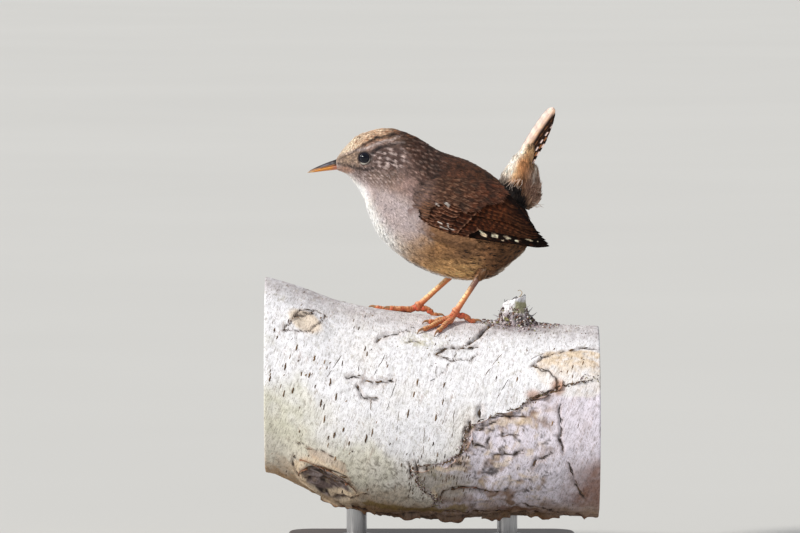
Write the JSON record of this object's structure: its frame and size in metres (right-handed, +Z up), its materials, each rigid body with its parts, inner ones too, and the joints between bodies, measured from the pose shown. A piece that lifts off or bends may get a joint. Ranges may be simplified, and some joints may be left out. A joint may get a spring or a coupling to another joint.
{
  "type": "wren on a perch",
  "caption": "Life-size still model of a wren with its tail cocked, standing on a cut length of birch limb that two short rods hold over a flat base.",
  "frame": {"origin": "centre of the display base's underside, below the middle of the cut limb", "axes": "+Z up from the surface that the base rests on; -X along the limb towards the bird's bill, so the bird faces -X; -Y is the bird's left side"},
  "size_m": [0.115, 0.076, 0.1545],
  "materials": {
    "body_plumage": "soft matt feathers, warm brown above and whitish grey to buff below",
    "wing_feather": "satin rufous brown feathers with dark bars",
    "tail_feather": "satin rufous buff feathers with dark bars",
    "eye": "wet gloss black",
    "bill_dark": "satin dark horn",
    "bill_pale": "satin orange horn",
    "leg_scales": "satin orange flesh, scaled",
    "claw_horn": "satin pale horn",
    "birch_bark": "rough whitish bark with dark cracks",
    "stand_wood": "dark stained, satin",
    "stand_steel": "brushed"
  },
  "bodies": {
    "root": {"head": "body_plumage", "neck": "body_plumage", "torso": "body_plumage", "bill_upper": "bill_dark", "bill_lower": "bill_pale", "eye_left": "eye", "eye_right": "eye", "wing_left": "wing_feather", "wing_right": "wing_feather", "tail": "tail_feather", "leg_left": "leg_scales", "leg_right": "leg_scales", "foot_left": "leg_scales", "foot_right": "leg_scales", "claw_left_inner": "claw_horn", "claw_left_middle": "claw_horn", "claw_left_outer": "claw_horn", "claw_left_hind": "claw_horn", "claw_right_inner": "claw_horn", "claw_right_middle": "claw_horn", "claw_right_outer": "claw_horn", "claw_right_hind": "claw_horn", "perch_limb": "birch_bark", "stand_base": "stand_wood", "stand_rod_front": "stand_steel", "stand_rod_rear": "stand_steel"}
  },
  "joints": []
}
